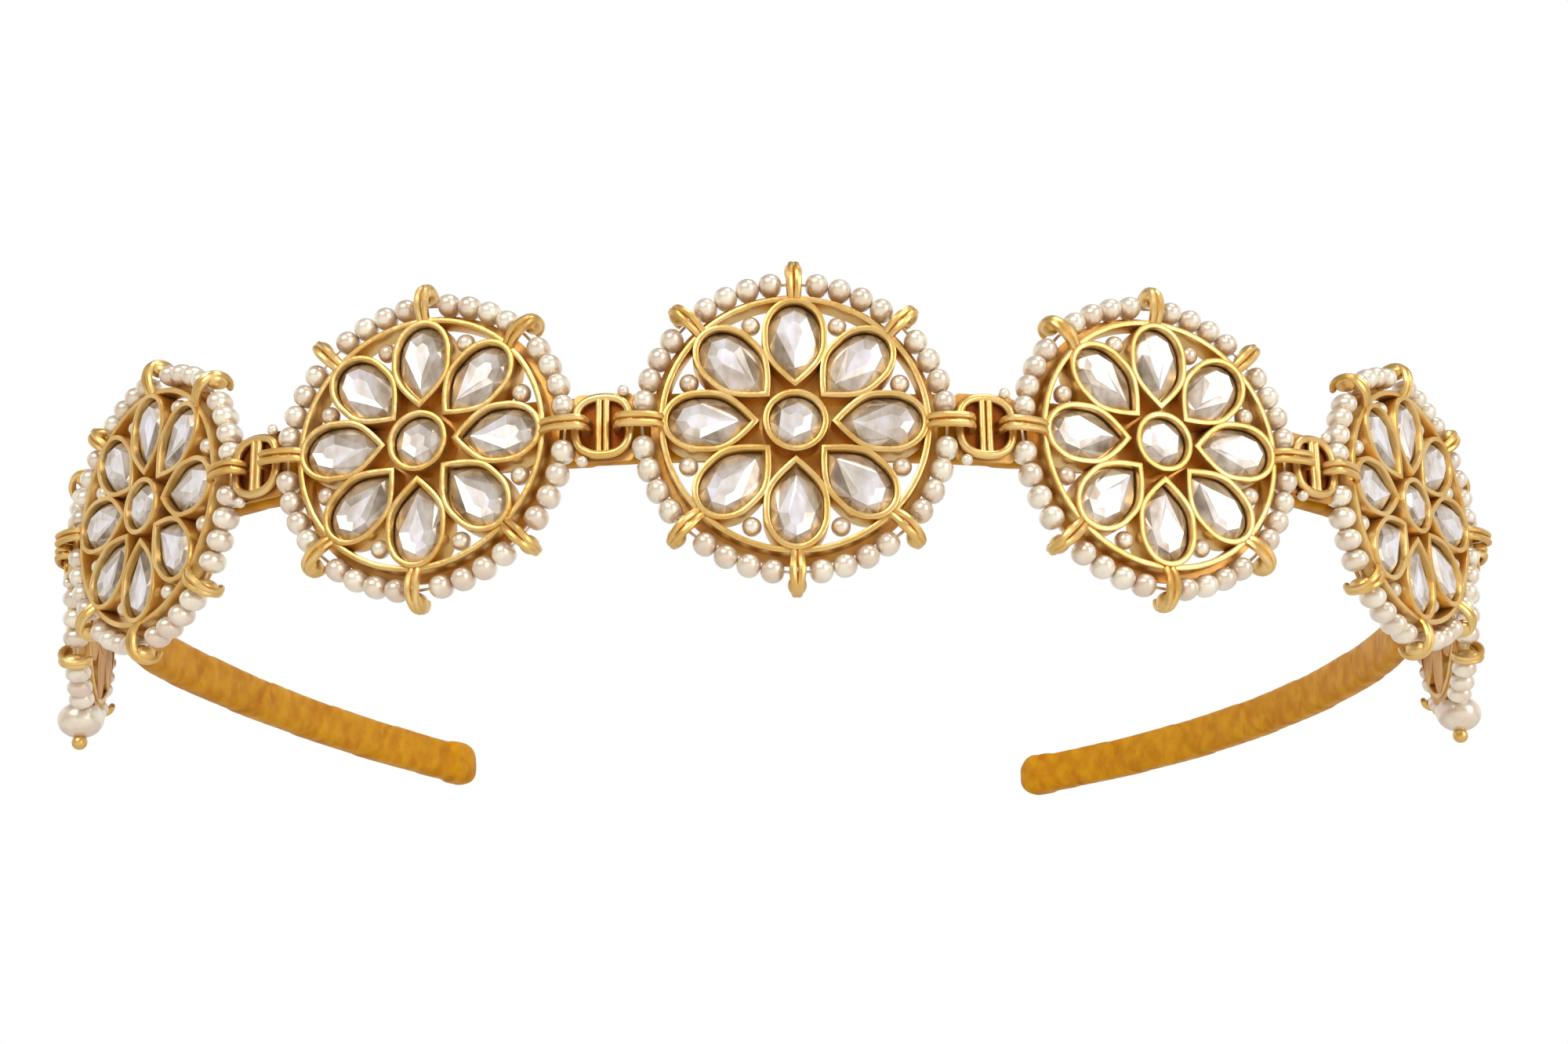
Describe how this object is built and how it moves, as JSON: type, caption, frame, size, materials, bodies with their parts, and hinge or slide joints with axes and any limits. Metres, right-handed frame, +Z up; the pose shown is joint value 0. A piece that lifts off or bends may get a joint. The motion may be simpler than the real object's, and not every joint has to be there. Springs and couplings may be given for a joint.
{
  "type": "matha patti headband",
  "caption": "Open hairband wrapped in satin ribbon, carrying a row of linked round flower medallions of foiled stones edged with pearls, with a large pearl under each end one.",
  "frame": {"origin": "inner face of the band at its middle, where it sits on the head over the forehead", "axes": "+X to the wearer's left along the medallion row at its middle, -Y forward out of the middle medallion, +Z up; the band's plane is level and its open ends point to +Y"},
  "size_m": [0.1575, 0.1379, 0.0321],
  "materials": {
    "satin_ribbon": "golden yellow satin, wrapped aslant and creased",
    "gold_plate": "polished yellow gold plate",
    "pearl": "cream imitation pearl with a soft lustre",
    "foiled_glass": "faceted clear stone on a silver foil"
  },
  "bodies": {
    "root": {"centre_stone_left_1": "foiled_glass", "centre_stone_left_2": "foiled_glass", "centre_stone_left_3": "foiled_glass", "centre_stone_middle": "foiled_glass", "centre_stone_right_1": "foiled_glass", "centre_stone_right_2": "foiled_glass", "centre_stone_right_3": "foiled_glass", "drop_pearl_left_3": "pearl", "drop_pearl_right_3": "pearl", "hair_band": "satin_ribbon", "link_1": "gold_plate", "link_2": "gold_plate", "link_3": "gold_plate", "link_4": "gold_plate", "link_5": "gold_plate", "link_6": "gold_plate", "pearls_left_1": "pearl", "pearls_left_2": "pearl", "pearls_left_3": "pearl", "pearls_middle": "pearl", "pearls_right_1": "pearl", "pearls_right_2": "pearl", "pearls_right_3": "pearl", "petal_stone_left_1_1": "foiled_glass", "petal_stone_left_1_2": "foiled_glass", "petal_stone_left_1_3": "foiled_glass", "petal_stone_left_1_4": "foiled_glass", "petal_stone_left_1_5": "foiled_glass", "petal_stone_left_1_6": "foiled_glass", "petal_stone_left_1_7": "foiled_glass", "petal_stone_left_1_8": "foiled_glass", "petal_stone_middle_1": "foiled_glass", "petal_stone_middle_2": "foiled_glass", "petal_stone_middle_3": "foiled_glass", "petal_stone_middle_4": "foiled_glass", "petal_stone_middle_5": "foiled_glass", "petal_stone_middle_6": "foiled_glass", "petal_stone_middle_7": "foiled_glass", "petal_stone_middle_8": "foiled_glass", "petal_stone_right_1_1": "foiled_glass", "petal_stone_right_1_2": "foiled_glass", "petal_stone_right_1_3": "foiled_glass", "petal_stone_right_1_4": "foiled_glass", "petal_stone_right_1_5": "foiled_glass", "petal_stone_right_1_6": "foiled_glass", "petal_stone_right_1_7": "foiled_glass", "petal_stone_right_1_8": "foiled_glass", "setting_left_1": "gold_plate", "setting_left_2": "gold_plate", "setting_left_3": "gold_plate", "setting_middle": "gold_plate", "setting_right_1": "gold_plate", "setting_right_2": "gold_plate", "setting_right_3": "gold_plate"}
  },
  "joints": []
}
